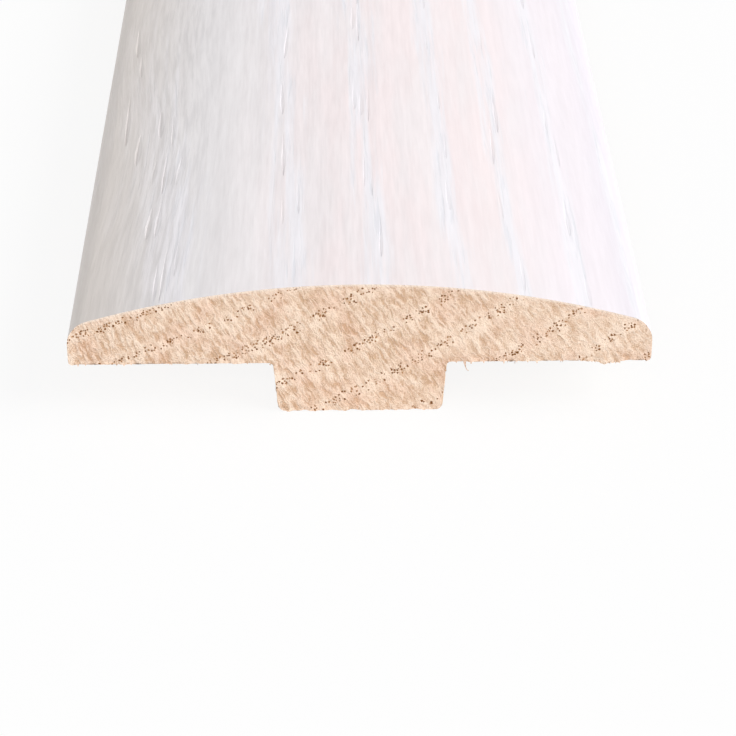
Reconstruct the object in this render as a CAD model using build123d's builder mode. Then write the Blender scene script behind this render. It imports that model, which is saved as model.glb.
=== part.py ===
# T-moulding: the strip that bridges the gap between two hard floors.
# It is one piece of solid hardwood, planed to a constant section and sawn square at both ends.
# A crowned flange lies over the edges of both floors, and a stem under it goes down into the gap.
# Millimetres. X runs across the moulding, Y along it and Z up. The origin is in the middle of the foot.

import os

from build123d import *

# Driving dimensions
length = 914.4  # a doorway length, 36 in
flange_width = 50.8  # across both lips, 2 in
lip_thickness = 3.8  # flange at its two long edges, before the shoulder is rounded
crown_rise = 4.0  # crest of the crown above the top of the lips
stem_height = 4.9  # underside of the flange down to the foot
stem_root_width = 15.2  # stem where it leaves the flange
stem_foot_width = 14.4  # stem at the floor, narrower so that it enters the gap
shoulder_radius = 2.4  # round between the crown and the edge of each lip
lower_arris_radius = 0.4  # edge under each lip
root_radius = 0.4  # inside corners left by the cutter
foot_radius = 0.7  # rounded corners of the foot

# Places in the section that follow from them
lip_end = flange_width / 2
root_side = stem_root_width / 2
foot_side = stem_foot_width / 2
lip_top = stem_height + lip_thickness
crest = lip_top + crown_rise

with BuildPart() as t_moulding:
    with BuildSketch(Plane.XZ) as section:
        with BuildLine():
            # Under the crown: right lip, underside, stem, underside and left lip
            FilletPolyline(
                (lip_end, lip_top),
                (lip_end, stem_height),
                (root_side, stem_height),
                (foot_side, 0),
                (-foot_side, 0),
                (-root_side, stem_height),
                (-lip_end, stem_height),
                (-lip_end, lip_top),
                radius=[
                    lower_arris_radius,
                    root_radius,
                    foot_radius,
                    foot_radius,
                    root_radius,
                    lower_arris_radius,
                ],
            )
            # The crown is one arc from lip to lip
            ThreePointArc((-lip_end, lip_top), (0, crest), (lip_end, lip_top))
        make_face()
        lip_corners = section.vertices().group_by(Axis.Y)[-1]
        fillet(lip_corners, radius=shoulder_radius)
    extrude(amount=length / 2, both=True)

t_moulding.part.label = "t_moulding"

os.makedirs("parts", exist_ok=True)
export_step(t_moulding.part, "parts/t_moulding.step")
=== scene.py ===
import math
import random

import bpy
from mathutils import Matrix, Vector


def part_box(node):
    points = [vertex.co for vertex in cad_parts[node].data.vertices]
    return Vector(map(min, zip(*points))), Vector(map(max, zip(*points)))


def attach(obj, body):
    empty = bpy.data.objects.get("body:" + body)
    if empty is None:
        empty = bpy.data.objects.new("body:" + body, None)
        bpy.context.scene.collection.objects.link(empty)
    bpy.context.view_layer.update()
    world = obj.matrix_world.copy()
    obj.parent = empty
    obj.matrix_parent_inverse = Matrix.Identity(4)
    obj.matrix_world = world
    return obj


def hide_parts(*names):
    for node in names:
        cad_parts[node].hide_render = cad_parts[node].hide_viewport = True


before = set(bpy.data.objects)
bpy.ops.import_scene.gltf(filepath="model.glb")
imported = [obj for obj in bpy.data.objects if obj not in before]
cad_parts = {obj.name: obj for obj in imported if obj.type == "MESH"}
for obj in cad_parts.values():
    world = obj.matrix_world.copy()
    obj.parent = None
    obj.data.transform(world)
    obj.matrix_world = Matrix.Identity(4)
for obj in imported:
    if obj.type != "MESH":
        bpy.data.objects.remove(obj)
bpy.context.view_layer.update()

mm = 0.001  # sizes below are in millimetres, Blender works in metres

# Where the strip lies, from the frame: X across it, Y along it, Z up, foot on the floor
stripLow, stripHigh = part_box("t_moulding")
width = (stripHigh.x - stripLow.x) / mm
length = (stripHigh.y - stripLow.y) / mm
nearEnd = stripLow.y / mm
farEnd = stripHigh.y / mm

# Section of the strip, mm
section = dict(
    stemHeight=4.9,  # underside of the flange above the floor
    stemRoot=15.2,  # stem where it leaves the flange
    stemFoot=14.4,  # stem at the floor
    lipThickness=3.8,  # flange at its long edges, before the shoulder is rounded
    crownRise=4.0,  # crest above the top of the lips
    shoulder=2.4,  # round between the crown and the edge of each lip
    lowArris=0.4,
    rootRound=0.4,
    footRound=0.7,
    cell=0.16,  # mesh grid over the sawn ends
    crownStep=0.5,  # chords of the crown
    cornerSteps=8,  # facets round each arris
    shoulderSteps=10,
    endRows=(0.2, 0.3, 0.6, 1.4, 3.5, 8.0),  # rows of faces that widen away from both ends
    middleRows=6,
)
halfWidth = width / 2
crownRadius = (halfWidth ** 2 + section["crownRise"] ** 2) / (2 * section["crownRise"])
crownAxis = section["stemHeight"] + section["lipThickness"] + section["crownRise"] - crownRadius


def crownHeight(x):
    return crownAxis + math.sqrt(crownRadius ** 2 - x * x)


def linear(code):
    # sRGB hex to the linear colour that a shader takes
    channels = [int(code[i:i + 2], 16) / 255 for i in (1, 3, 5)]
    return [c / 12.92 if c <= 0.04045 else ((c + 0.055) / 1.055) ** 2.4 for c in channels] + [1.0]


def feed(node, inputs):
    # each input gets a fixed value, a socket, or a node by its first live output
    for name, source in inputs.items():
        if isinstance(source, bpy.types.Node):
            source = next(out for out in source.outputs if out.enabled)
        if isinstance(source, bpy.types.NodeSocket):
            node.id_data.links.new(source, node.inputs[name])
        else:
            node.inputs[name].default_value = source


def addNode(tree, kind, inputs=None, **settings):
    node = tree.nodes.new("ShaderNode" + kind)
    for name, value in settings.items():
        setattr(node, name, value)
    feed(node, inputs or {})
    return node


# Camera: above the near end, looking down the strip
shot = dict(
    standOff=190.3,  # in front of the near end
    side=-2.5,
    height=115.6,
    lookDown=30.293,
    lookRight=0.96,
    lens=123.55,  # on a 36 mm sensor
)
bpy.ops.object.camera_add(
    location=(shot["side"] * mm, (nearEnd - shot["standOff"]) * mm, shot["height"] * mm),
    rotation=(math.radians(90 - shot["lookDown"]), 0, math.radians(-shot["lookRight"])),
)
camera = bpy.context.object
camera.name = "camera"
camera.data.lens = shot["lens"]
camera.data.sensor_width = 36
camera.data.clip_start = 0.01
bpy.context.scene.camera = camera
print("camera placed")

# Ash is ring porous: every year's growth starts with a band of wide open pores
# The rings stand round one pith, and the grain runs slowly out of the strip
ash = dict(
    pith=(-60.0, 109.9),  # X and Z of the heart of the tree from the foot of the near end
    firstRing=84.5,  # distance from the pith at which the count of rings starts
    ringWidths=(3.45, 3.4, 4.4, 3.7, 4.3, 4.0),  # repeated
    ringRounds=4,
    runOut=0.9,  # degrees between the grain and the strip
    swirl=1.0,  # the grain dips this much more under the left lip
    swirlFrom=-7.0,
    swirlTo=-23.0,
    swirlLength=110.0,
    sway=(0.5, 260.0),  # slow waves of the grain: how far, and how often along the strip
    swell=(0.9, 410.0),
    curl=(1.4, 64.0),  # wild grain on the left: how far the fibres swing, and how often
    poreBand=0.20,  # share of a ring that holds pores
    poreSpacing=0.27,
    crumple=(0.3, 0.14),  # pores are not quite round: size of the dents, and how far they go
    midReach=119.5,  # how far the middle of the strip lies from the pith
    clusterSize=1.3,  # pores stand in groups about this long
    openLength=9.0,  # a pore is open for about this long, and then closed
)
ringWidths = ash["ringWidths"] * ash["ringRounds"]


def smooth(start, end, value):
    share = min(max((value - start) / (end - start), 0), 1)
    return share * share * (3 - 2 * share)


def fibrePlace(x, y, z):
    # X and Z at the near end of the fibre that passes through a point, y from the near end
    a = ash
    dip = y * math.tan(math.radians(a["runOut"]))
    dip += a["swirl"] * smooth(a["swirlFrom"], a["swirlTo"], x) * smooth(0, a["swirlLength"], y)
    side = a["sway"][0] * math.sin(math.pi * y / a["sway"][1]) ** 2
    lift = a["swell"][0] * math.sin(math.pi * y / a["swell"][1]) ** 2
    return x + side, z - dip + lift


def curlLean(x, y):
    # degrees that the wild grain leans to the right
    far, often = ash["curl"]
    swing = smooth(ash["swirlFrom"], ash["swirlTo"], x) * far * math.pi / often
    return math.degrees(math.atan(swing * math.sin(2 * math.pi * y / often)))


def ringShare(place):
    # 0 where a year's growth starts, 1 where it ends
    reach = math.dist(place, ash["pith"]) - ash["firstRing"]
    for ringWidth in ringWidths:
        if reach < ringWidth:
            return reach / ringWidth
        reach -= ringWidth
    return 1.0


def editFaces(piece, wanted):
    # into edit mode with the faces selected that wanted(face) accepts
    mesh = piece.data
    for part in (mesh.vertices, mesh.edges):
        part.foreach_set("select", [False] * len(part))
    picked = [wanted(face) for face in mesh.polygons]
    mesh.polygons.foreach_set("select", picked)
    bpy.ops.object.mode_set(mode="EDIT")
    bpy.ops.mesh.select_mode(type="FACE")
    return sum(picked)


def editVertices(piece, wanted):
    # the same for vertices, by their place
    mesh = piece.data
    for part in (mesh.edges, mesh.polygons):
        part.foreach_set("select", [False] * len(part))
    mesh.vertices.foreach_set("select", [wanted(vertex.co) for vertex in mesh.vertices])
    bpy.ops.object.mode_set(mode="EDIT")
    bpy.ops.mesh.select_mode(type="VERT")


# Outline of half the section, walked from the middle of the foot to the crest of the crown
class Walk:
    def __init__(self):
        self.place = Vector((0, nearEnd, 0))
        self.heading = 0.0  # degrees above +X, in the XZ plane

    def along(self, turn=0.0):
        angle = math.radians(self.heading + turn)
        return Vector((math.cos(angle), 0, math.sin(angle)))

    def run(self, distance):
        step = self.along() * distance
        bpy.ops.mesh.extrude_vertices_move(TRANSFORM_OT_translate={"value": step * mm})
        self.place += step

    def bend(self, radius, degrees, steps):
        # left for a positive angle, right for a negative one
        side = 90 if degrees > 0 else -90
        centre = self.place + self.along(side) * radius
        bpy.ops.mesh.spin(
            steps=steps, angle=math.radians(degrees), center=centre * mm, axis=(0, 1, 0),
            use_auto_merge=False,
        )
        turned = Matrix.Rotation(math.radians(-degrees), 3, "Y") @ (self.place - centre)
        self.place = centre + turned
        self.heading += degrees


def buildStrip():
    s = section
    # the shoulder is tangent to the lip's edge and to the crown
    shoulderSide = halfWidth - s["shoulder"]
    shoulderRise = math.sqrt((crownRadius - s["shoulder"]) ** 2 - shoulderSide ** 2)
    crownHalf = math.degrees(math.atan2(shoulderSide, shoulderRise))
    # the stem leans out towards its root
    lean = (s["stemRoot"] - s["stemFoot"]) / 2
    sideTurn = math.degrees(math.atan2(s["stemHeight"], lean))
    footCut = s["footRound"] * math.tan(math.radians(sideTurn / 2))
    rootCut = s["rootRound"] * math.tan(math.radians(sideTurn / 2))
    sideLength = math.hypot(s["stemHeight"], lean)

    bpy.ops.object.select_all(action="DESELECT")
    bpy.ops.mesh.primitive_plane_add(size=s["cell"] * mm, location=(0, nearEnd * mm, 0))
    strip = bpy.context.object
    strip.name = "ash_strip"
    bpy.ops.object.transform_apply(location=True, rotation=True, scale=True)
    bpy.ops.object.mode_set(mode="EDIT")
    bpy.ops.mesh.select_mode(type="VERT")
    bpy.ops.mesh.select_all(action="SELECT")
    bpy.ops.mesh.merge(type="CENTER")  # one point, in the middle of the foot

    walk = Walk()
    corner = s["cornerSteps"]
    walk.run(s["stemFoot"] / 2 - footCut)
    walk.bend(s["footRound"], sideTurn, corner)
    walk.run(sideLength - footCut - rootCut)
    walk.bend(s["rootRound"], -sideTurn, corner)
    walk.run(halfWidth - s["stemRoot"] / 2 - rootCut - s["lowArris"])
    walk.bend(s["lowArris"], 90, corner)
    walk.run(crownAxis + shoulderRise - s["stemHeight"] - s["lowArris"])
    walk.bend(s["shoulder"], 90 - crownHalf, s["shoulderSteps"])
    walk.bend(crownRadius, crownHalf, round(halfWidth / s["crownStep"]))
    walk.heading = 270
    walk.run(walk.place.z)  # back down to the foot
    bpy.ops.mesh.select_all(action="SELECT")
    bpy.ops.mesh.remove_doubles(threshold=0.001 * mm)
    bpy.ops.mesh.select_all(action="SELECT")
    bpy.ops.mesh.edge_face_add()
    print("outline walked to", [round(v, 3) for v in walk.place], "crown radius", round(crownRadius, 2))

    # grid over the half section, for the torn fibres of the saw cut
    for across, reach in (((1, 0, 0), halfWidth), ((0, 0, 1), crownHeight(0))):
        for step in range(1, int(reach / s["cell"]) + 1):
            bpy.ops.mesh.select_all(action="SELECT")
            level = Vector(across) * step * s["cell"]
            level.y = nearEnd
            bpy.ops.mesh.bisect(plane_co=level * mm, plane_no=across, threshold=0.002 * mm)
    bpy.ops.object.mode_set(mode="OBJECT")
    print("half section faces", len(strip.data.polygons))

    # the other half, then the length in rows
    bpy.ops.object.modifier_add(type="MIRROR")
    strip.modifiers["Mirror"].merge_threshold = 0.001 * mm
    bpy.ops.object.modifier_apply(modifier="Mirror")
    ends = list(s["endRows"])
    middle = (length - 2 * sum(ends)) / s["middleRows"]
    bpy.ops.object.mode_set(mode="EDIT")
    bpy.ops.mesh.select_mode(type="FACE")
    bpy.ops.mesh.select_all(action="SELECT")
    for step in ends + [middle] * s["middleRows"] + ends[::-1]:
        bpy.ops.mesh.extrude_region_move(TRANSFORM_OT_translate={"value": (0, step * mm, 0)})
    bpy.ops.mesh.select_all(action="SELECT")
    bpy.ops.mesh.normals_make_consistent(inside=False)
    bpy.ops.object.mode_set(mode="OBJECT")
    print("strip faces", len(strip.data.polygons))
    return strip


strip = buildStrip()

# Open pores: where the early wood of a ring comes to the crown, its pores lie open as grooves in the finish
grooves = dict(
    tries=5600,  # spots drawn over the crown, of which those on early wood get a groove
    margin=2.4,  # kept free along both long edges
    length=(5.0, 15.0),
    width=(0.24, 0.52),
    wild=0.5,  # wider by this share on the left, where the grain is wild
    depth=(0.10, 0.24),  # of the width
    keel=0.5,  # the deepest line lies left of the middle, by this share of half the width
    farHalf=(0.85, 1.5, 0.75),  # the far half is narrower, longer and shallower
    tilt=0.35,  # degrees, deeper towards the near end
    waver=1.0,  # degrees
    apart=0.12,
    seed=5,
)


def grooveSpots():
    g = grooves
    draw = random.Random(g["seed"])
    edge = halfWidth - g["margin"]
    spots = []
    for _ in range(g["tries"]):
        x, y = draw.uniform(-edge, edge), draw.uniform(0, length)
        long, wide = draw.uniform(*g["length"]), draw.uniform(*g["width"])
        wide *= 1 + g["wild"] * smooth(ash["swirlFrom"], ash["swirlTo"], x)
        deep = wide * draw.uniform(*g["depth"])
        turn = draw.gauss(curlLean(x, y), g["waver"])
        if ringShare(fibrePlace(x, y, crownHeight(x))) > ash["poreBand"]:
            continue
        if all(
            abs(x - other[0]) > (wide + other[3]) / 2 + g["apart"]
            or abs(y - other[1]) > (long + other[2]) / 2
            for other in spots
        ):
            spots.append((x, y, long, wide, deep, turn))
    return spots


def openPores(strip):
    g = grooves
    # one cutter: a four-sided spindle along Y, blunt at the near end and drawn out at the far end
    bpy.ops.object.select_all(action="DESELECT")
    alongY = (math.radians(90), 0, 0)
    bpy.ops.mesh.primitive_uv_sphere_add(segments=4, ring_count=8, radius=1, rotation=alongY)
    spindle = bpy.context.object
    bpy.ops.object.transform_apply(location=True, rotation=True, scale=True)
    editVertices(spindle, lambda place: place.y > 0.01)
    bpy.ops.transform.resize(value=g["farHalf"], center_override=(0, 0, 0))
    bpy.ops.object.mode_set(mode="OBJECT")
    for vertex in spindle.data.vertices:
        vertex.co.x += g["keel"] * min(vertex.co.z, 0)

    spots = grooveSpots()
    for x, y, long, wide, deep, turn in spots:
        cutter = spindle.copy()
        cutter.data = spindle.data.copy()
        bpy.context.collection.objects.link(cutter)
        cutter.select_set(True)
        onCrown = Matrix.Rotation(math.asin(x / crownRadius), 3, "Y")
        turned = Matrix.Rotation(math.radians(-turn), 3, "Z")
        tilted = Matrix.Rotation(math.radians(g["tilt"]), 3, "X")
        cutter.matrix_world = Matrix.LocRotScale(
            Vector((x, nearEnd + y, crownHeight(x))) * mm,
            onCrown @ turned @ tilted,
            Vector((wide / 2, long / 2.5, deep)) * mm,
        )
    bpy.data.objects.remove(spindle)
    cutters = cutter
    bpy.context.view_layer.objects.active = cutters
    bpy.ops.object.join()

    bpy.ops.object.select_all(action="DESELECT")
    strip.select_set(True)
    bpy.context.view_layer.objects.active = strip
    bpy.ops.object.modifier_add(type="BOOLEAN")
    cut = strip.modifiers["Boolean"]
    cut.operation = "DIFFERENCE"
    cut.object = cutters
    cut.solver = "MANIFOLD"
    bpy.ops.object.modifier_apply(modifier="Boolean")
    bpy.data.objects.remove(cutters)
    strip.data.materials.clear()  # the empty slot that the cut brings along
    print("pore grooves", len(spots), "strip faces", len(strip.data.polygons))


openPores(strip)

# The saw cut at both ends: fibres torn along the rays, ragged lower edges and a few hairs left hanging
sawCut = dict(
    depth=0.5,  # how far the torn edge reaches along the strip
    streak=(0.55, 1.8),  # torn streaks, across and along the rays
    streakDepth=0.18,
    rayLean=30.0,  # degrees, the rings rise to the right by this much
    cleanRim=0.5,  # the crown's edge is cut cleanly
    ruffle=0.9,  # ragged edges: size of the bites
    ruffleDepth=0.55,
    sideGive=0.4,  # the sides of the stem are less ragged
    hairs=((0.07, 0.10), (0.13, 0.05), (0.22, 0.012)),  # length, and share of the faces that carry one
    hairInset=0.07,  # from the edge of a face to the hair's tip
    splinterAt=9.1,  # the long hair beside the stem
    splinter=((0.03, 0.28), (0.07, 0.30), (0.12, 0.24), (0.16, 0.14)),  # steps to the right and down
    splinterHalf=0.2,
    splinterTaper=0.85,  # from step to step
    flakeFrom=19.2,  # a flake torn loose under the right lip, by how far each slice of it hangs
    flakeDrops=(0.06, 0.10, 0.14, 0.12, 0.20, 0.26, 0.24, 0.32, 0.36, 0.33, 0.38, 0.30, 0.34, 0.22),
    flakeSlice=0.25,
    seed=11,
)


def grooveFace(face):
    # faces that lie under the arc of the crown, inside its shoulders
    x, z = face.center.x / mm, face.center.z / mm
    onCrown = z > section["stemHeight"] and abs(x) < halfWidth - section["shoulder"]
    return onCrown and abs(face.normal.y) < 0.5 and crownHeight(x) - z > 0.002


def sawnFace(face):
    inward = min(face.center.y - nearEnd * mm, farEnd * mm - face.center.y)
    return inward < (sawCut["depth"] + 0.1) * mm and abs(face.normal.y) > 0.5


def stemHalf(z):
    s = section
    return (s["stemFoot"] + (s["stemRoot"] - s["stemFoot"]) * min(z / s["stemHeight"], 1)) / 2


def insideLowerEdge(x, z):
    # how far a point of the end lies from the undersides, the sides of the stem and the foot
    if z < section["stemHeight"]:
        return min(z, stemHalf(z) - abs(x))
    return math.hypot(max(stemHalf(z) - abs(x), 0), z - section["stemHeight"])


def tearEnds(strip):
    c = sawCut
    reach = 0.25 * mm  # the outermost row of faces

    def atEnd(face):
        return min(face.center.y - nearEnd * mm, farEnd * mm - face.center.y) < reach

    def underLip(face):
        return face.normal.z < -0.8 and face.center.z > 0.8 * section["stemHeight"] * mm

    # hairs: some of the outermost faces under the lips, drawn out to points
    def hairSpot(face):
        x = face.center.x / mm
        free = abs(x - c["splinterAt"]) > 0.5 and not c["flakeFrom"] - 0.3 < x < flakeTo + 0.3
        if not (free and atEnd(face) and underLip(face)):
            return False
        draw = random.Random(f"{c['seed']} {hairLength} {x:.1f} {face.center.y > 0}")  # by place
        return draw.random() < share

    flakeTo = c["flakeFrom"] + len(c["flakeDrops"]) * c["flakeSlice"]
    for hairLength, share in c["hairs"]:
        count = editFaces(strip, hairSpot)
        bpy.ops.mesh.inset(thickness=c["hairInset"] * mm, depth=hairLength * mm, use_individual=True)
        bpy.ops.object.mode_set(mode="OBJECT")
        print("hairs of", hairLength, "mm:", count)

    # the flake under the right lip of the near end, slice by slice
    for step, drop in enumerate(c["flakeDrops"]):
        start = c["flakeFrom"] + step * c["flakeSlice"]

        def inSlice(face):
            near = face.center.y < (nearEnd + c["depth"]) * mm
            return near and underLip(face) and start * mm < face.center.x < (start + c["flakeSlice"]) * mm

        if editFaces(strip, inSlice):
            bpy.ops.mesh.extrude_region_move(TRANSFORM_OT_translate={"value": (0, 0, -drop * mm)})
        bpy.ops.object.mode_set(mode="OBJECT")

    # the long hair beside the stem of the near end
    def hairRoot(face):
        near = face.center.y < nearEnd * mm + reach
        return near and underLip(face) and abs(face.center.x - c["splinterAt"] * mm) < c["splinterHalf"] * mm

    editFaces(strip, hairRoot)
    tip = Vector((c["splinterAt"], nearEnd + 0.1, section["stemHeight"]))
    for right, down in c["splinter"]:
        tip += Vector((right, 0, -down))
        bpy.ops.mesh.extrude_region_move(TRANSFORM_OT_translate={"value": Vector((right, 0, -down)) * mm})
        bpy.ops.transform.resize(value=[c["splinterTaper"]] * 3, center_override=tip * mm)
    bpy.ops.object.mode_set(mode="OBJECT")

    # how strongly each point of the mesh gives way, less so near the inside corners
    torn = strip.vertex_groups.new(name="torn")
    edge = strip.vertex_groups.new(name="edge")
    for vertex in strip.data.vertices:
        x, y, z = vertex.co / mm
        inward = min(y - nearEnd, farEnd - y)
        underRim = min(crownRadius - math.hypot(x, z - crownAxis), halfWidth - abs(x))
        if inward < 0.001 and underRim > 0.1:
            torn.add([vertex.index], min((underRim - 0.1) / c["cleanRim"], 1), "REPLACE")
        if inward < c["depth"] + 0.01 and insideLowerEdge(x, z) < c["cleanRim"]:
            onSide = z < section["stemHeight"] + c["cleanRim"] and z > stemHalf(z) - abs(x)
            give = c["sideGive"] if onSide and abs(x) < stemHalf(z) + c["cleanRim"] else 1.0
            give *= smooth(0.4, 1.3, math.hypot(abs(x) - stemHalf(z), z - section["stemHeight"]))
            edge.add([vertex.index], give * (1.0 - 0.8 * inward / c["depth"]), "REPLACE")

    # streaks along the rays, in the axes of an empty that leans with the rings
    bpy.ops.object.empty_add(rotation=(0, -math.radians(c["rayLean"]), 0))
    axes = bpy.context.object
    axes.scale = (c["streak"][0] * mm, 1.0 * mm, c["streak"][1] * mm)
    bpy.context.view_layer.update()
    bpy.ops.object.select_all(action="DESELECT")
    strip.select_set(True)
    bpy.context.view_layer.objects.active = strip
    flatCut = [vertex.co.y for vertex in strip.data.vertices]
    for name, scale, strength, level, group, coords in (
        ("tornStreaks", 1.0, c["streakDepth"], 1.0, "torn", "OBJECT"),
        ("raggedEdge", c["ruffle"] * mm, c["ruffleDepth"], 0.56, "edge", "LOCAL"),
    ):
        pattern = bpy.data.textures.new(name, "CLOUDS")
        pattern.noise_scale = scale
        pattern.noise_depth = 3
        bpy.ops.object.modifier_add(type="DISPLACE")
        tear = strip.modifiers["Displace"]
        tear.texture = pattern
        tear.strength = strength * mm
        tear.mid_level = level
        tear.vertex_group = group
        tear.texture_coords = coords
        if coords == "OBJECT":
            tear.texture_coords_object = axes
        bpy.ops.object.modifier_apply(modifier="Displace")
        if group == "torn":
            # how deep the tear went, which the sawn end's painted shade reads
            depth = strip.data.attributes.new("tornDepth", "FLOAT", "POINT")
            for vertex, was, value in zip(strip.data.vertices, flatCut, depth.data):
                value.value = abs(vertex.co.y - was) / (c["streakDepth"] * mm)
    for vertex in strip.data.vertices:  # nothing stands past the lips, the saw cuts or the foot
        vertex.co.x = min(max(vertex.co.x, stripLow.x), stripHigh.x)
        vertex.co.y = min(max(vertex.co.y, stripLow.y), stripHigh.y)
        vertex.co.z = max(vertex.co.z, stripLow.z)
    bpy.data.objects.remove(axes)
    strip.vertex_groups.clear()
    print("ends torn")


tearEnds(strip)
# smooth over the crown, its shoulders and the torn ends, crisp at the grooves and round the saw cuts
bpy.ops.object.shade_smooth_by_angle(angle=math.radians(12))
editFaces(strip, sawnFace)
bpy.ops.mesh.mark_sharp(clear=True)
bpy.ops.object.mode_set(mode="OBJECT")
for crispFace in (sawnFace, grooveFace):
    editFaces(strip, crispFace)
    bpy.ops.mesh.region_to_loop()
    bpy.ops.mesh.mark_sharp()
    bpy.ops.object.mode_set(mode="OBJECT")
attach(strip, "root")
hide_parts("t_moulding")


def ringPhase(tree, flat):
    # ringShare in nodes, and the distance from the pith
    a = ash
    span = sum(ringWidths)
    reach = addNode(tree, "VectorMath", {0: flat, 1: (*a["pith"], 0)}, operation="DISTANCE")
    share = addNode(
        tree, "MapRange", {"Value": reach, "From Min": a["firstRing"], "From Max": a["firstRing"] + span}
    )
    years = addNode(tree, "FloatCurve", {"Value": share})
    points = years.mapping.curves[0].points
    for year in range(1, len(ringWidths)):
        points.new(sum(ringWidths[:year]) / span, year / len(ringWidths))
    for point in points:
        point.handle_type = "VECTOR"
    years.mapping.update()
    count = addNode(tree, "Math", {0: years, 1: len(ringWidths)}, operation="MULTIPLY")
    return addNode(tree, "Math", {0: count}, operation="FRACT"), reach


def ashFigure(tree):
    # the figure of the wood through the whole solid, in millimetres from the foot of the near end
    a = ash
    place = addNode(tree, "TexCoord")
    spot = addNode(
        tree, "Mapping",
        inputs={
            "Vector": place.outputs["Object"], "Location": (0, -nearEnd, 0),
            "Scale": (1 / mm, 1 / mm, 1 / mm),
        },
    )
    x, y, z = addNode(tree, "SeparateXYZ", {0: spot}).outputs

    # fibrePlace in nodes: the grain dips along the strip, more so under the left lip, and sways
    dip = addNode(tree, "Math", {0: y, 1: math.tan(math.radians(a["runOut"]))}, operation="MULTIPLY")
    leftward = addNode(
        tree, "MapRange", {"Value": x, "From Min": a["swirlFrom"], "From Max": a["swirlTo"]},
        interpolation_type="SMOOTHSTEP",
    )
    onward = addNode(
        tree, "MapRange", {"Value": y, "From Max": a["swirlLength"], "To Max": a["swirl"]},
        interpolation_type="SMOOTHSTEP",
    )
    dipped = addNode(tree, "Math", {0: leftward, 1: onward, 2: dip}, operation="MULTIPLY_ADD")
    waves = []
    for far, often in (a["sway"], a["swell"], a["curl"]):
        turn = addNode(tree, "Math", {0: y, 1: 2 * math.pi / often}, operation="MULTIPLY")
        wave = addNode(tree, "Math", {0: turn}, operation="COSINE")
        waves.append(addNode(tree, "Math", {0: wave, 1: -far / 2, 2: far / 2}, operation="MULTIPLY_ADD"))
    fibreX = addNode(tree, "Math", {0: x, 1: waves[0]}, operation="ADD")
    lifted = addNode(tree, "Math", {0: z, 1: waves[1]}, operation="ADD")
    fibreZ = addNode(tree, "Math", {0: lifted, 1: dipped}, operation="SUBTRACT")
    flat = addNode(tree, "CombineXYZ", {0: fibreX, 1: fibreZ})
    curl = addNode(tree, "Math", {0: leftward, 1: waves[2]}, operation="MULTIPLY")
    grainX = addNode(tree, "Math", {0: fibreX, 1: curl}, operation="SUBTRACT")
    grain = addNode(tree, "CombineXYZ", {0: grainX, 1: y, 2: fibreZ})

    # how deep a point lies under the arc of the crown
    level = addNode(tree, "CombineXYZ", {0: x, 1: z})
    fromAxis = addNode(tree, "VectorMath", {0: level, 1: (0, crownAxis, 0)}, operation="DISTANCE")
    below = addNode(tree, "Math", {0: crownRadius, 1: fromAxis}, operation="SUBTRACT")

    # early wood, softly on both sides of the pores
    phase, reach = ringPhase(tree, flat)
    wrapped = addNode(tree, "Math", {0: phase, 1: 0.6, 2: -0.4}, operation="WRAP")
    offBand = addNode(tree, "Math", {0: wrapped, 1: a["poreBand"] / 2}, operation="SUBTRACT")
    beside = addNode(tree, "Math", {0: offBand}, operation="ABSOLUTE")
    early = addNode(
        tree, "MapRange", interpolation_type="SMOOTHSTEP",
        inputs={"Value": beside, "From Min": a["poreBand"] + 0.10, "From Max": a["poreBand"] / 2},
    )

    # place along the ring, for the rays that cross it
    fromPith = addNode(tree, "VectorMath", {0: flat, 1: (*a["pith"], 0)}, operation="SUBTRACT")
    parts = addNode(tree, "SeparateXYZ", {0: fromPith})
    angle = addNode(tree, "Math", {0: parts.outputs[0], 1: parts.outputs[1]}, operation="ARCTAN2")
    around = addNode(tree, "Math", {0: angle, 1: a["midReach"]}, operation="MULTIPLY")

    # pores: one in each cell that falls in the band, whole even where the band ends, and not quite round
    dent, give = a["crumple"]
    crumple = addNode(
        tree, "TexNoise", {"Vector": flat, "Scale": 1 / dent, "Detail": 1.0}, noise_dimensions="2D"
    )
    crumpled = addNode(
        tree, "VectorMath", {0: crumple.outputs["Color"], 1: (give, give, 0), 2: flat},
        operation="MULTIPLY_ADD",
    )
    cells = addNode(
        tree, "TexVoronoi", {"Vector": crumpled, "Scale": 1 / a["poreSpacing"], "Randomness": 0.95},
        voronoi_dimensions="2D",
    )
    chance = addNode(tree, "SeparateColor", {0: cells.outputs["Color"]})
    cellPhase = ringPhase(tree, cells.outputs["Position"])[0]
    cellEarly = addNode(
        tree, "MapRange",
        inputs={"Value": cellPhase, "From Min": a["poreBand"] + 0.04, "From Max": a["poreBand"] - 0.04},
    )
    groups = addNode(
        tree, "TexNoise", noise_dimensions="2D",
        inputs={"Vector": cells.outputs["Position"], "Scale": 1 / a["clusterSize"], "Detail": 1.0},
    )
    grouped = addNode(
        tree, "MapRange",
        inputs={"Value": groups, "From Min": 0.40, "From Max": 0.54, "To Min": 0.14, "To Max": 0.8},
    )
    likely = addNode(tree, "Math", {0: cellEarly, 1: grouped}, operation="MULTIPLY")
    there = addNode(tree, "Math", {0: chance.outputs[0], 1: likely}, operation="LESS_THAN")
    radius = addNode(tree, "MapRange", {"Value": chance.outputs[1], "To Min": 0.26, "To Max": 0.54})
    core = addNode(tree, "Math", {0: radius, 1: 0.45}, operation="MULTIPLY")
    inside = addNode(
        tree, "MapRange", {"Value": cells.outputs["Distance"], "From Min": radius, "From Max": core},
        interpolation_type="SMOOTHSTEP",
    )
    pore = addNode(tree, "Math", {0: inside, 1: there}, operation="MULTIPLY")

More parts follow.
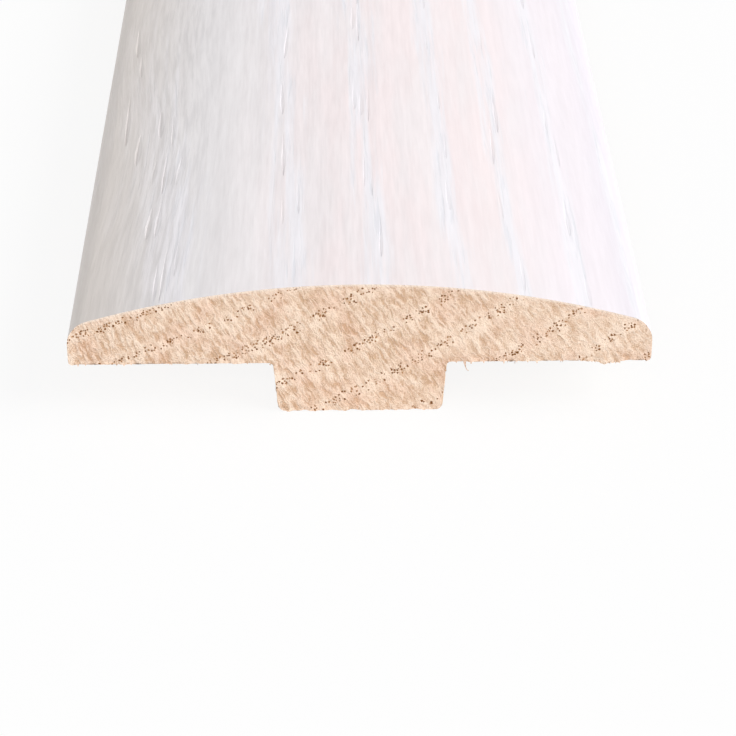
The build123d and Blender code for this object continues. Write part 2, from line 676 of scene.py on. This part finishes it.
    # open and closed stretches, cell by cell
    lengthwise = addNode(tree, "Math", {0: y, 1: a["openLength"]}, operation="DIVIDE")
    stretch = addNode(tree, "CombineXYZ", {1: lengthwise})
    cellPlace = addNode(
        tree, "VectorMath", {0: cells.outputs["Color"], 1: (60, 60, 60), 2: stretch},
        operation="MULTIPLY_ADD",
    )
    openness = addNode(tree, "TexNoise", {"Vector": cellPlace, "Scale": 1.0, "Detail": 0.0})
    openPore = addNode(
        tree, "MapRange", {"Value": openness, "From Min": 0.40, "From Max": 0.58},
        interpolation_type="SMOOTHSTEP",
    )
    return dict(
        grain=grain, flat=flat, x=x, reach=reach, around=around, below=below, beside=beside, early=early,
        pore=pore, openPore=openPore,
    )


def newMaterial(name):
    material = bpy.data.materials.new(name)
    material.use_nodes = True
    tree = material.node_tree
    return material, tree, tree.nodes["Principled BSDF"]


mixA, mixB = 6, 7  # the colour inputs of a Mix node

# Sawn end: fibres torn into ridges along the rays
tornAsh = dict(
    ridge=(0.37, 1.5),  # ridges of torn fibre, across and along the rays
    vein=(0.62, 1.9),  # thin pale veins between them
    warp=0.45,  # they waver by this much
    warpSize=0.8,
    crumb=0.15,  # broken fibre ends
    patch=5.0,  # darker and lighter patches
    hollowShade=(0.5, 1.5),  # painted shade, brown, in hollows between the ridges, in the late wood on the left
    knot=2.4,  # small brown spots
    hue=3.1,
    stainRim=0.28,  # the stain soaks in this far under the crown
)


def sawnAshEnd():
    # raw ash sawn across the grain: cream ridges on tan along the rays and brown open pores, dry and matt
    t = tornAsh
    material, tree, shader = newMaterial("ash_sawn_end_grain")
    wood = ashFigure(tree)
    rayPlace = addNode(tree, "CombineXYZ", {0: wood["around"], 1: wood["reach"]})
    wavering = addNode(
        tree, "TexNoise", {"Vector": wood["flat"], "Scale": 1 / t["warpSize"], "Detail": 1.0},
        noise_dimensions="2D",
    )
    wavered = addNode(
        tree, "VectorMath", {0: wavering.outputs["Color"], 1: (t["warp"], t["warp"], 0), 2: rayPlace},
        operation="MULTIPLY_ADD",
    )
    torn = {}
    for name, detail in (("ridge", 1.5), ("vein", 1.0), ("hollowShade", 1.0)):
        across, along = t[name]
        scaled = addNode(
            tree, "VectorMath", {0: wavered, 1: (1 / across, 1 / along, 0)}, operation="MULTIPLY"
        )
        torn[name] = addNode(
            tree, "TexNoise", {"Vector": scaled, "Scale": 1.0, "Detail": detail}, noise_dimensions="2D"
        )
    calm = addNode(
        tree, "MapRange", {"Value": wood["x"], "From Min": 4.0, "From Max": 19.0},
        interpolation_type="SMOOTHSTEP",
    )
    offFold = addNode(tree, "Math", {0: torn["vein"], 1: 0.5}, operation="SUBTRACT")
    fold = addNode(tree, "Math", {0: offFold}, operation="ABSOLUTE")
    vein = addNode(
        tree, "MapRange", interpolation_type="SMOOTHSTEP",
        inputs={"Value": fold, "From Min": 0.09, "From Max": 0.0, "To Min": -0.10, "To Max": 0.28},
    )
    rough = addNode(tree, "MapRange", {"Value": calm, "To Min": 1.8, "To Max": 1.2})
    centred = addNode(tree, "Math", {0: torn["ridge"], 1: 0.5}, operation="SUBTRACT")
    ridge = addNode(tree, "Math", {0: centred, 1: rough}, operation="MULTIPLY")
    # painted shade: darker where the saw cut tore deeper, lighter on the proud fibres
    depth = addNode(tree, "Attribute", attribute_name="tornDepth")
    tornDepthShade = addNode(
        tree, "MapRange",
        inputs={
            "Value": depth.outputs["Fac"], "From Min": 0.75, "From Max": 0.25,
            "To Min": -0.2, "To Max": 0.2,
        },
    )
    # painted shade, brown, in hollows between the ridges of the late wood on the left
    hollowShade = addNode(
        tree, "MapRange", {"Value": torn["hollowShade"], "From Min": 0.50, "From Max": 0.66, "To Max": -0.42},
        interpolation_type="SMOOTHSTEP",
    )
    late = addNode(tree, "MapRange", {"Value": wood["beside"], "From Min": 0.18, "From Max": 0.36})
    leftLate = addNode(tree, "Math", {0: calm, 1: -0.8, 2: late}, operation="MULTIPLY_ADD", use_clamp=True)
    shadedHollows = addNode(tree, "Math", {0: hollowShade, 1: leftLate}, operation="MULTIPLY")
    crumbs, patches, knots = [
        addNode(
            tree, "TexNoise", {"Vector": wood["flat"], "Scale": 1 / t[name], "Detail": 2.0},
            noise_dimensions="2D",
        )
        for name in ("crumb", "patch", "knot")
    ]
    tones = [ridge, tornDepthShade, shadedHollows, vein]
    for source, low, high, down, up in (
        (crumbs, 0.25, 0.75, -0.34, 0.34),
        (patches, 0.35, 0.65, -0.08, 0.08),
        (knots, 0.72, 0.60, -0.35, 0.0),
        (calm, 0.0, 1.0, 0.0, 0.03),
        (wood["early"], 0.0, 1.0, 0.62, 0.80),
    ):
        shift = {"Value": source, "From Min": low, "From Max": high, "To Min": down, "To Max": up}
        tones.append(addNode(tree, "MapRange", shift))
    tone = tones[0]
    for part in tones[1:]:
        tone = addNode(tree, "Math", {0: tone, 1: part}, operation="ADD")
    tone = addNode(tree, "Clamp", {0: tone})
    body = addNode(
        tree, "Mix", {0: tone, mixA: linear("#DAB596"), mixB: linear("#FFE7D2")}, data_type="RGBA"
    )
    # some patches redder, some yellower
    hues = addNode(
        tree, "TexNoise", {"Vector": wood["flat"], "Scale": 1 / t["hue"], "Detail": 1.0},
        noise_dimensions="2D",
    )
    reds = addNode(tree, "MapRange", {"Value": hues, "From Min": 0.45, "From Max": 0.7, "To Max": 0.35})
    reddened = addNode(
        tree, "Mix", {0: reds, mixA: body, mixB: linear("#F7E4DE")}, data_type="RGBA", blend_type="MULTIPLY"
    )
    shut = addNode(tree, "MapRange", {"Value": wood["openPore"], "To Min": 0.6, "To Max": 1.0})
    hole = addNode(tree, "Math", {0: wood["pore"], 1: shut}, operation="MULTIPLY")
    # brown inside, with a rusty edge
    edge = addNode(tree, "MapRange", {"Value": hole, "From Max": 0.5, "To Max": 0.75})
    edged = addNode(tree, "Mix", {0: edge, mixA: reddened, mixB: linear("#C0864A")}, data_type="RGBA")
    core = addNode(tree, "MapRange", {"Value": hole, "From Min": 0.35, "From Max": 0.9, "To Max": 0.95})
    pitted = addNode(tree, "Mix", {0: core, mixA: edged, mixB: linear("#7B4C1E")}, data_type="RGBA")
    rim = addNode(
        tree, "MapRange", interpolation_type="SMOOTHSTEP",
        inputs={
            "Value": wood["below"], "From Min": t["stainRim"],
            "From Max": 0.3 * t["stainRim"], "To Max": 0.8,
        },
    )
    colour = addNode(tree, "Mix", {0: rim, mixA: pitted, mixB: linear("#FDEBDB")}, data_type="RGBA")
    veined = addNode(tree, "Math", {0: ridge, 1: vein}, operation="ADD")
    raised = addNode(tree, "Math", {0: veined, 1: tones[4]}, operation="ADD")  # with the crumbs
    relief = addNode(tree, "Math", {0: hole, 1: -0.35, 2: raised}, operation="MULTIPLY_ADD")
    bump = addNode(tree, "Bump", {"Height": relief, "Strength": 0.8, "Distance": 0.2 * mm})
    feed(shader, {"Base Color": colour, "Roughness": 0.85, "Specular IOR Level": 0.25, "Normal": bump})
    return material


# Stained crown: what shows of the figure through the white
stainedAsh = dict(
    fine=(0.34, 5.0),  # streaks, across and along the grain
    coarse=(1.2, 36.0),
    filled=(0.4, 8.0),  # half-filled pores
    wild=(0.5, 7.0),  # furrows of the wild grain on the left slope
    wildFrom=-12.0,
    wildTo=-18.0,
    bandEdge=(0.9, 22.0),  # the white over the early wood ends unevenly
    mottle=(2.6, 24.0),  # the pink comes in patches
    thinAndShadeFrom=-14.0,  # the stain lies thinner and warmer towards the left lip, with painted shade there
    thinAndShadeTo=-25.4,
    sheerFrom=16.0,  # streaks show more strongly from here to the left
    sheerTo=-6.0,
    tintsAndPaintedShade=(  # the white turns cooler to the right, and painted shade darkens the right shoulder and the left slope: from X to X, and to what
        (12.0, 20.0, "#F6F0F6"),
        # painted shade on the right shoulder
        (21.0, 24.8, "#EDE8F0"),
        # painted shade on the left slope
        (-6.0, -17.0, "#EBE8E9"),
    ),
    pinkFrom=-18.0,  # late wood tints it pink where it lies thick
    pinkTo=3.0,
)


def whiteStainedAsh():
    # ash under white stain and satin lacquer: the figure shows through faintly, and the open pores get
    # painted shade where they lie deepest
    s = stainedAsh
    material, tree, shader = newMaterial("ash_white_stain_satin")
    wood = ashFigure(tree)
    streaks = {}
    for name in ("fine", "coarse", "filled", "wild", "bandEdge", "mottle"):
        across, along = s[name]
        scaled = addNode(
            tree, "VectorMath", {0: wood["grain"], 1: (1 / across, 1 / along, 1 / across)},
            operation="MULTIPLY",
        )
        streaks[name] = addNode(
            tree, "TexNoise", {"Vector": scaled, "Scale": 1.0, "Detail": 3.0, "Roughness": 0.55}
        )
    uneven = addNode(
        tree, "MapRange",
        inputs={
            "Value": streaks["bandEdge"], "From Min": 0.25, "From Max": 0.75,
            "To Min": -0.2, "To Max": 0.2,
        },
    )
    offBand = addNode(tree, "Math", {0: wood["beside"], 1: uneven}, operation="ADD")
    band = addNode(
        tree, "MapRange", {"Value": offBand, "From Min": 0.22, "From Max": -0.04, "To Max": 0.9},
        interpolation_type="SMOOTHSTEP",
    )
    warmth = addNode(
        tree, "MapRange", {"Value": wood["x"], "From Min": s["pinkFrom"], "From Max": s["pinkTo"]},
        interpolation_type="SMOOTHSTEP",
    )
    patches = addNode(
        tree, "MapRange",
        inputs={
            "Value": streaks["mottle"], "From Min": 0.38, "From Max": 0.62,
            "To Min": 0.55, "To Max": 1.05,
        },
    )
    pink = addNode(tree, "Math", {0: warmth, 1: patches}, operation="MULTIPLY")
    colour = addNode(
        tree, "Mix", {0: pink, mixA: linear("#F4F1F3"), mixB: linear("#F9EDEE")}, data_type="RGBA"
    )
    # cooler white to the right, then painted shade on the right shoulder and the left slope
    for start, end, code in s["tintsAndPaintedShade"]:
        tintAndShadeShare = addNode(
            tree, "MapRange", {"Value": wood["x"], "From Min": start, "From Max": end, "To Max": 0.85},
            interpolation_type="SMOOTHSTEP",
        )
        colour = addNode(tree, "Mix", {0: tintAndShadeShare, mixA: colour, mixB: linear(code)}, data_type="RGBA")
    colour = addNode(tree, "Mix", {0: band, mixA: colour, mixB: linear("#F6F4F9")}, data_type="RGBA")
    sheer = addNode(
        tree, "MapRange", interpolation_type="SMOOTHSTEP",
        inputs={
            "Value": wood["x"], "From Min": s["sheerFrom"], "From Max": s["sheerTo"],
            "To Min": 0.7, "To Max": 1.35,
        },
    )
    for name, most, code in (("fine", 0.38, "#EEEDED"), ("coarse", 0.50, "#F2F1F1")):
        share = addNode(
            tree, "MapRange", {"Value": streaks[name], "From Min": 0.36, "From Max": 0.70, "To Max": most}
        )
        shown = addNode(tree, "Math", {0: share, 1: sheer}, operation="MULTIPLY")
        colour = addNode(
            tree, "Mix", {0: shown, mixA: colour, mixB: linear(code)},
            data_type="RGBA", blend_type="MULTIPLY",
        )
    # the wild grain takes the stain unevenly, and its low furrows get painted shade
    wildness = addNode(
        tree, "MapRange", {"Value": wood["x"], "From Min": s["wildFrom"], "From Max": s["wildTo"]},
        interpolation_type="SMOOTHSTEP",
    )
    furrows = addNode(
        tree, "MapRange", {"Value": streaks["wild"], "From Min": 0.57, "From Max": 0.36, "To Max": 0.55}
    )
    wildFurrowShade = addNode(tree, "Math", {0: furrows, 1: wildness}, operation="MULTIPLY")
    colour = addNode(tree, "Mix", {0: wildFurrowShade, mixA: colour, mixB: linear("#C8C5C7")}, data_type="RGBA")
    # over the early wood some pores are half filled, and lie lower and greyer
    halfFilled = addNode(
        tree, "MapRange", {"Value": streaks["filled"], "From Min": 0.50, "From Max": 0.68},
        interpolation_type="SMOOTHSTEP",
    )
    furrow = addNode(tree, "Math", {0: halfFilled, 1: band}, operation="MULTIPLY")
    greyed = addNode(tree, "Math", {0: furrow, 1: 0.55}, operation="MULTIPLY")
    colour = addNode(tree, "Mix", {0: greyed, mixA: colour, mixB: linear("#DFE0E7")}, data_type="RGBA")
    # the left lip: thinner, warmer stain, and painted shade that darkens it
    thinStainAndShade = addNode(
        tree, "MapRange", interpolation_type="SMOOTHSTEP",
        inputs={"Value": wood["x"], "From Min": s["thinAndShadeFrom"], "From Max": s["thinAndShadeTo"], "To Max": 0.75},
    )
    colour = addNode(tree, "Mix", {0: thinStainAndShade, mixA: colour, mixB: linear("#D1C8C0")}, data_type="RGBA")
    # the grooves lie deeper than the crown, which ends where the shoulders start; their deepest parts get
    # painted shade
    deep = addNode(tree, "MapRange", {"Value": wood["below"], "From Min": 0.06, "From Max": 0.15})
    offMiddle = addNode(tree, "Math", {0: wood["x"]}, operation="ABSOLUTE")
    onCrown = addNode(
        tree, "Math", {0: offMiddle, 1: halfWidth - section["shoulder"] - 0.2}, operation="LESS_THAN"
    )
    groove = addNode(tree, "Math", {0: deep, 1: onCrown}, operation="MULTIPLY")
    grooveShade = addNode(tree, "Math", {0: groove, 1: 0.5}, operation="MULTIPLY")
    colour = addNode(tree, "Mix", {0: grooveShade, mixA: colour, mixB: linear("#B9B1AE")}, data_type="RGBA")
    rippled = addNode(
        tree, "Math", {0: streaks["fine"], 1: 0.10, 2: streaks["coarse"]}, operation="MULTIPLY_ADD"
    )
    wildRise = addNode(tree, "Math", {0: wildness, 1: 1.3}, operation="MULTIPLY")
    wavy = addNode(tree, "Math", {0: streaks["wild"], 1: wildRise, 2: rippled}, operation="MULTIPLY_ADD")
    sunk = addNode(tree, "Math", {0: furrow, 1: -0.5, 2: wavy}, operation="MULTIPLY_ADD")
    bump = addNode(tree, "Bump", {"Height": sunk, "Strength": 0.6, "Distance": 0.08 * mm})
    feed(shader, {"Base Color": colour, "Roughness": 0.45, "Normal": bump})
    return material


def planedAsh():
    # raw ash planed along the grain: tan, with the pores as brown dashes and a dull sheen
    material, tree, shader = newMaterial("ash_planed_raw")
    wood = ashFigure(tree)
    fibreWidth, fibreLength = 0.35, 30.0
    scaled = addNode(
        tree, "VectorMath", {0: wood["grain"], 1: (1 / fibreWidth, 1 / fibreLength, 1 / fibreWidth)},
        operation="MULTIPLY",
    )
    fibres = addNode(tree, "TexNoise", {"Vector": scaled, "Scale": 1.0, "Detail": 3.0, "Roughness": 0.6})
    base = addNode(
        tree, "Mix", {0: wood["early"], mixA: linear("#E9CBAB"), mixB: linear("#DDBB97")}, data_type="RGBA"
    )
    streak = addNode(
        tree, "MapRange", {"Value": fibres, "From Min": 0.3, "From Max": 0.7, "To Min": 0.0, "To Max": 0.5}
    )
    streaked = addNode(tree, "Mix", {0: streak, mixA: base, mixB: linear("#F2DBC1")}, data_type="RGBA")
    slit = addNode(tree, "Math", {0: wood["pore"], 1: wood["openPore"]}, operation="MULTIPLY")
    colour = addNode(tree, "Mix", {0: slit, mixA: streaked, mixB: linear("#A67C55")}, data_type="RGBA")
    ridged = addNode(tree, "Math", {0: fibres, 1: 0.15}, operation="MULTIPLY")
    grooved = addNode(tree, "Math", {0: ridged, 1: slit}, operation="SUBTRACT")
    bump = addNode(tree, "Bump", {"Height": grooved, "Strength": 0.8, "Distance": 0.1 * mm})
    feed(shader, {"Base Color": colour, "Roughness": 0.7, "Specular IOR Level": 0.35, "Normal": bump})
    return material


# Finish by face: stain over the crown and the lips, bare wood below and at both saw cuts
finishes = [whiteStainedAsh(), sawnAshEnd(), planedAsh()]
for finish in finishes:
    strip.data.materials.append(finish)
for face in strip.data.polygons:
    if sawnFace(face):
        face.material_index = 1
    elif face.center.z > (section["stemHeight"] + section["lowArris"]) * mm:
        face.material_index = 0
    else:
        face.material_index = 2
print("finishes", [finish.name for finish in finishes])

# Map for a bake: the stained top in three rows, the raw wood in two, both sawn ends larger and side by side
sheet = dict(
    pixels=1024,
    gap=6,
    spill=4.0,  # mm past the end of a row, for grooves that cross it
    topHalf=28.4,  # from the crest round to the lower edge of a lip
    rawHalf=30.6,  # from the middle of the foot round to the edge of a lip
    topCuts=(2, 4),  # rows end after so many of the strip's middle rows
    rawCuts=(3,),
)


def aroundTop(x, z):
    # way along the section from the crest, over the shoulder and down the lip
    shoulder = section["shoulder"]
    side = halfWidth - shoulder
    rise = math.sqrt((crownRadius - shoulder) ** 2 - side ** 2)
    turn = math.atan2(side, rise)
    angle = math.atan2(abs(x), z - crownAxis)
    if angle < turn:
        return math.copysign(crownRadius * angle, x)
    drop = crownAxis + rise - z
    roll = math.pi / 2 if drop > 0 else math.atan2(abs(x) - side, -drop)
    return math.copysign(crownRadius * turn + shoulder * (roll - turn) + max(drop, 0), x)


def aroundRaw(x, z):
    # way along the section from the middle of the foot, up the stem, along the underside and round the arris
    foot, root = section["stemFoot"] / 2, section["stemRoot"] / 2
    return math.copysign(min(abs(x), foot) + z + max(abs(x) - root, 0), x)


def mapForBake(strip):
    mesh = strip.data
    rows = sheet["pixels"] - 2 * sheet["gap"]
    ends = sum(section["endRows"])
    middle = (length - 2 * ends) / section["middleRows"]
    starts = [[0] + [ends + cut * middle for cut in sheet[name]] for name in ("topCuts", "rawCuts")]
    longest = [max(b - a for a, b in zip(part, part[1:] + [length])) + 2 * sheet["spill"] for part in starts]
    pitch = [reach / rows for reach in longest]
    endPitch = width / (rows / 2 - sheet["gap"])
    bases, level = [], sheet["gap"]
    for part, half, size in zip(starts, (sheet["topHalf"], sheet["rawHalf"]), pitch):
        bases.append([])
        for _ in part:
            bases[-1].append(level + half / size)
            level += 2 * half / size + sheet["gap"]
    places = [0.0] * (2 * len(mesh.loops))
    for face in mesh.polygons:
        far = face.center.y > 0
        along = face.center.y / mm - nearEnd
        kind = 0 if face.material_index == 0 else 1
        row = sum(along > start for start in starts[kind][1:])
        for corner in face.loop_indices:
            x, y, z = mesh.vertices[mesh.loops[corner].vertex_index].co / mm
            if face.material_index == 1:
                across = (halfWidth - x if far else halfWidth + x) / endPitch + far * sheet["pixels"] / 2
                up = level + z / endPitch
            else:
                turned = -aroundTop(x, z) if kind == 0 else aroundRaw(x, z)
                across = (y - nearEnd - starts[kind][row] + sheet["spill"]) / pitch[kind]
                up = bases[kind][row] + turned / pitch[kind]
            spot = (across + sheet["gap"]) / sheet["pixels"], up / sheet["pixels"]
            places[2 * corner:2 * corner + 2] = spot
    mesh.uv_layers.new(name="OFBake").data.foreach_set("uv", places)
    print("map for a bake, mm a pixel", [round(size, 3) for size in pitch + [endPitch]], "ends from", level)


mapForBake(strip)

# Floor, white to the camera, with part of the shadow left on it
bpy.ops.object.select_all(action="DESELECT")
bpy.ops.mesh.primitive_plane_add(size=30, location=(0, 0, 0))
floor = bpy.context.object
floor.name = "floor"


def straightRays(tree):
    # 1 for rays that see the ground directly, in a gloss or through glass
    rays = addNode(tree, "LightPath").outputs
    seen = addNode(tree, "Math", {0: rays["Is Camera Ray"], 1: rays["Is Glossy Ray"]}, operation="MAXIMUM")
    return addNode(tree, "Math", {0: seen, 1: rays["Is Transmission Ray"]}, operation="MAXIMUM")


def whiteFloor():
    # matt white paper that lights itself up to those rays, so that little of the shadow is left
    material, tree, shader = newMaterial("floor_white_paper")
    feed(shader, {"Base Color": linear("#F2F2F2"), "Roughness": 0.9})
    share = addNode(tree, "Math", {0: straightRays(tree), 1: 0.88}, operation="MULTIPLY")
    glow = addNode(tree, "Emission", {"Color": (1, 1, 1, 1), "Strength": 1.0})
    both = addNode(tree, "MixShader", {0: share, 1: shader, 2: glow})
    feed(tree.nodes["Material Output"], {"Surface": both})
    return material


floor.data.materials.append(whiteFloor())

# Light: a wide soft box low on the right, a fill in front, a weak bounce on the left and a pale room
lamps = dict(  # power, place and size
    key=(52.0, (1.95, -0.9, 1.6), (2.0, 1.4)),
    fill=(43.0, (-0.3, -3.2, 1.4), (2.4, 1.6)),
    bounce=(10.0, (-2.2, -0.6, 0.8), (2.0, 1.0)),
)
for name, (power, place, size) in lamps.items():
    aim = Vector((0, -0.2, 0)) - Vector(place)
    bpy.ops.object.light_add(type="AREA", location=place, rotation=aim.to_track_quat("-Z", "Y").to_euler())
    lamp = bpy.context.object
    lamp.name = name
    lamp.data.shape = "RECTANGLE"
    lamp.data.size, lamp.data.size_y = size
    lamp.data.energy = power

world = bpy.data.worlds.new("pale_room")
bpy.context.scene.world = world
world.use_nodes = True
room = world.node_tree
roomGlow = addNode(room, "Mix", {0: straightRays(room), 2: 0.34, 3: 1.0}, data_type="FLOAT")
feed(room.nodes["Background"], {"Color": (1, 1, 1, 1), "Strength": roomGlow})
print("light and floor set")

bpy.context.scene.view_settings.view_transform = "Standard"
